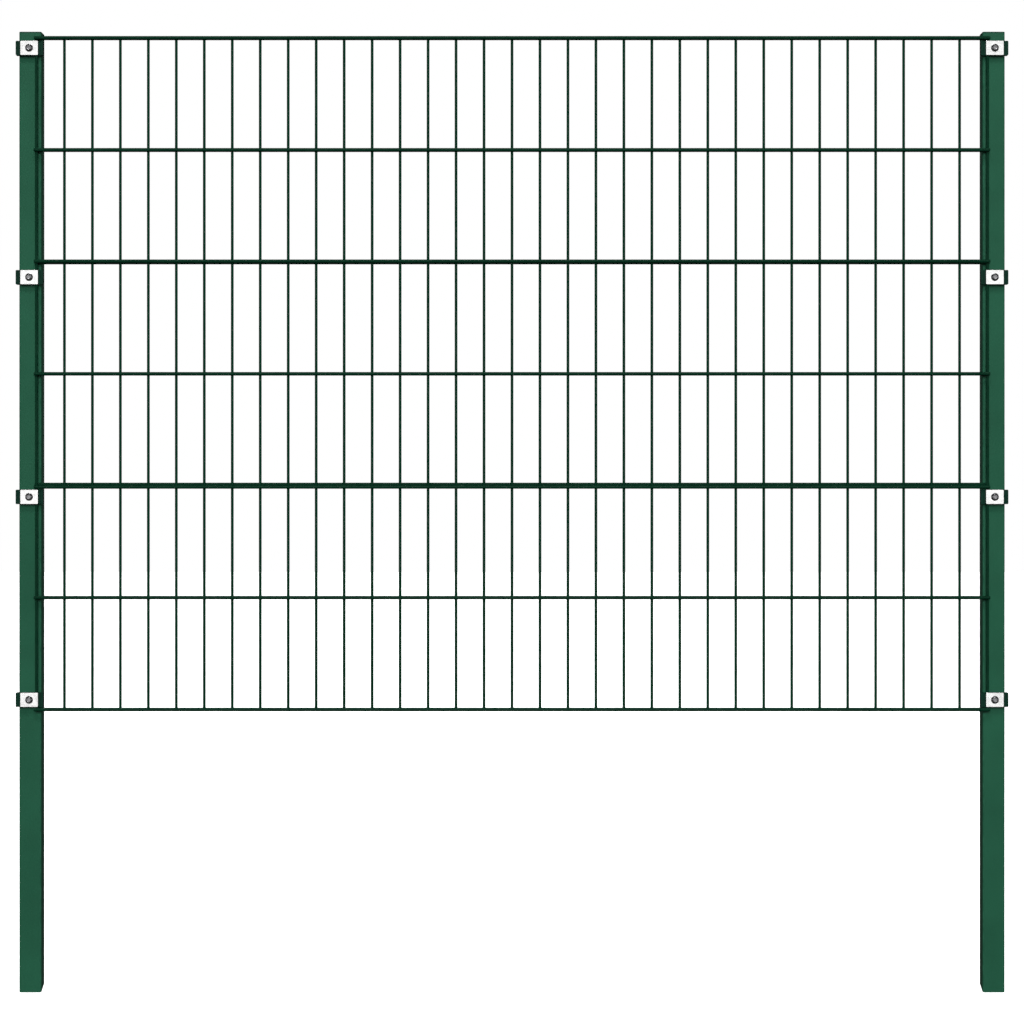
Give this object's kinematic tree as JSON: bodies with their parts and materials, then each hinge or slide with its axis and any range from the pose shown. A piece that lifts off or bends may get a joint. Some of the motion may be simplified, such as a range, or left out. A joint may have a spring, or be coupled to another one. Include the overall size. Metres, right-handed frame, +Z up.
{
  "type": "double-rod mesh fence panel with posts",
  "caption": "Welded double-rod wire mat clamped to the front of two square posts with buried feet, for fencing livestock, yards and gardens.",
  "frame": {"origin": "midway between the posts and midway through the bay's depth, at the level of the posts' feet", "axes": "+X along the fence to the right seen from the front, +Y from the clamp screws to the back of the posts, +Z up"},
  "size_m": [1.774, 0.058, 1.72],
  "materials": {
    "post_powder_coat": "satin moss green powder coat",
    "wire_powder_coat": "satin moss green powder coat on welded wire",
    "cap_plastic": "moulded green plastic",
    "saddle_plastic": "moulded dark green plastic",
    "clamp_steel": "brushed stainless steel",
    "screw_steel": "stainless steel",
    "nut_zinc": "zinc plated steel"
  },
  "bodies": {
    "root": {"left_post": "post_powder_coat", "right_post": "post_powder_coat", "left_post_cap": "cap_plastic", "right_post_cap": "cap_plastic", "left_wire_saddle_1": "saddle_plastic", "left_wire_saddle_2": "saddle_plastic", "left_wire_saddle_3": "saddle_plastic", "left_wire_saddle_4": "saddle_plastic", "left_clamp_plate_1": "clamp_steel", "left_clamp_plate_2": "clamp_steel", "left_clamp_plate_3": "clamp_steel", "left_clamp_plate_4": "clamp_steel", "left_clamp_screw_1": "screw_steel", "left_clamp_screw_2": "screw_steel", "left_clamp_screw_3": "screw_steel", "left_clamp_screw_4": "screw_steel", "left_rivet_nut_1": "nut_zinc", "left_rivet_nut_2": "nut_zinc", "left_rivet_nut_3": "nut_zinc", "left_rivet_nut_4": "nut_zinc", "right_wire_saddle_1": "saddle_plastic", "right_wire_saddle_2": "saddle_plastic", "right_wire_saddle_3": "saddle_plastic", "right_wire_saddle_4": "saddle_plastic", "right_clamp_plate_1": "clamp_steel", "right_clamp_plate_2": "clamp_steel", "right_clamp_plate_3": "clamp_steel", "right_clamp_plate_4": "clamp_steel", "right_clamp_screw_1": "screw_steel", "right_clamp_screw_2": "screw_steel", "right_clamp_screw_3": "screw_steel", "right_clamp_screw_4": "screw_steel", "right_rivet_nut_1": "nut_zinc", "right_rivet_nut_2": "nut_zinc", "right_rivet_nut_3": "nut_zinc", "right_rivet_nut_4": "nut_zinc", "front_line_wire_1": "wire_powder_coat", "front_line_wire_2": "wire_powder_coat", "front_line_wire_3": "wire_powder_coat", "front_line_wire_4": "wire_powder_coat", "front_line_wire_5": "wire_powder_coat", "front_line_wire_6": "wire_powder_coat", "front_line_wire_7": "wire_powder_coat", "rear_line_wire_1": "wire_powder_coat", "rear_line_wire_2": "wire_powder_coat", "rear_line_wire_3": "wire_powder_coat", "rear_line_wire_4": "wire_powder_coat", "rear_line_wire_5": "wire_powder_coat", "rear_line_wire_6": "wire_powder_coat", "rear_line_wire_7": "wire_powder_coat", "upright_wires_1": "wire_powder_coat", "upright_wires_2": "wire_powder_coat", "upright_wires_3": "wire_powder_coat", "upright_wires_4": "wire_powder_coat", "upright_wires_5": "wire_powder_coat", "upright_wires_6": "wire_powder_coat", "upright_wires_7": "wire_powder_coat"}
  },
  "joints": []
}
